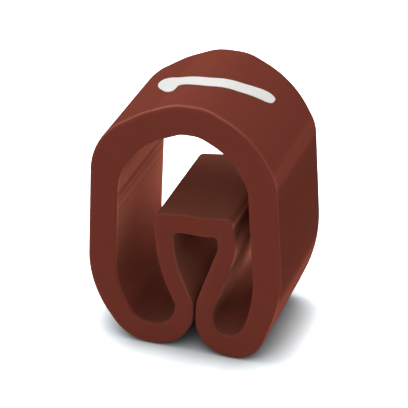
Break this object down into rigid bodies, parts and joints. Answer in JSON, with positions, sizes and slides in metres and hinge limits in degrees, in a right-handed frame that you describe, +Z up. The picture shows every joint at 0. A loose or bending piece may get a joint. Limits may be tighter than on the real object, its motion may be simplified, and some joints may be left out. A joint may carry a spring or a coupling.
{
  "type": "cable marker",
  "caption": "Soft slip-on cable marker: closed ring with an inward tongue that grips the conductor, flat crown for a number.",
  "frame": {"origin": "middle of the marker's footprint, on the surface that its two feet stand on", "axes": "+Z up from the feet to the crown, +Y along the conductor from the front cut face to the back one, +X to the right as seen from the front"},
  "size_m": [0.0044, 0.003, 0.0059],
  "materials": {
    "brown_vinyl": "satin soft vinyl, reddish brown, faint die lines along the extrusion"
  },
  "bodies": {
    "root": {"marker_sleeve": "brown_vinyl"}
  },
  "joints": []
}
